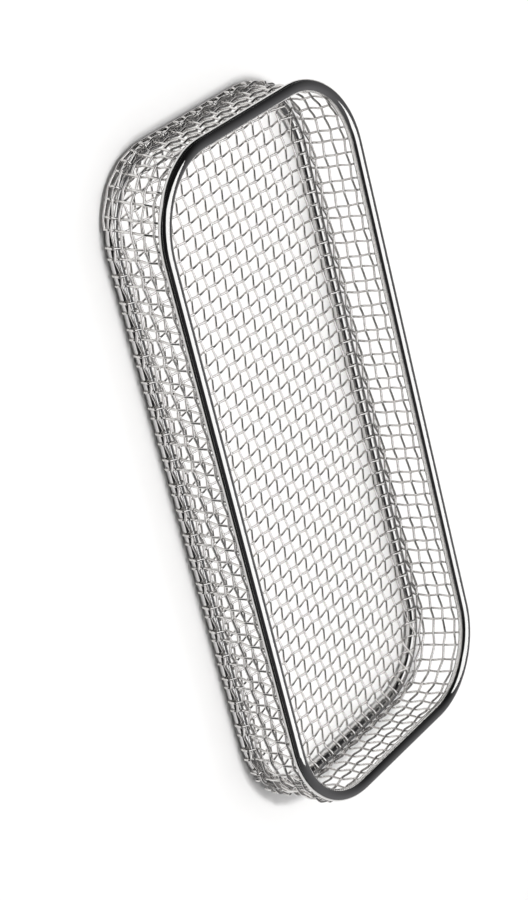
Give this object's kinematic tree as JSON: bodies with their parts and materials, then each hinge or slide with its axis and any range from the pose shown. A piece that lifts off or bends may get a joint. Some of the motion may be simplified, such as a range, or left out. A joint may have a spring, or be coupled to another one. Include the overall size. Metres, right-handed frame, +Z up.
{
  "type": "wire mesh autoclave basket",
  "caption": "Shallow open wire mesh basket with rounded corners, a round rim bar and a round foot bar, for holding small instruments while they are cleaned or sterilised",
  "frame": {"origin": "centre of the basket on the table it stands on", "axes": "+X along the basket's length, +Y across its width, +Z up"},
  "size_m": [0.2636, 0.1212, 0.0298],
  "materials": {
    "polished_bar": "electropolished stainless steel, mirror bright",
    "woven_wire": "electropolished stainless steel wire, bright with soft reflections"
  },
  "bodies": {
    "root": {"rim": "polished_bar", "foot_ring": "polished_bar", "side_wall": "woven_wire", "floor_mesh": "woven_wire"}
  },
  "joints": []
}
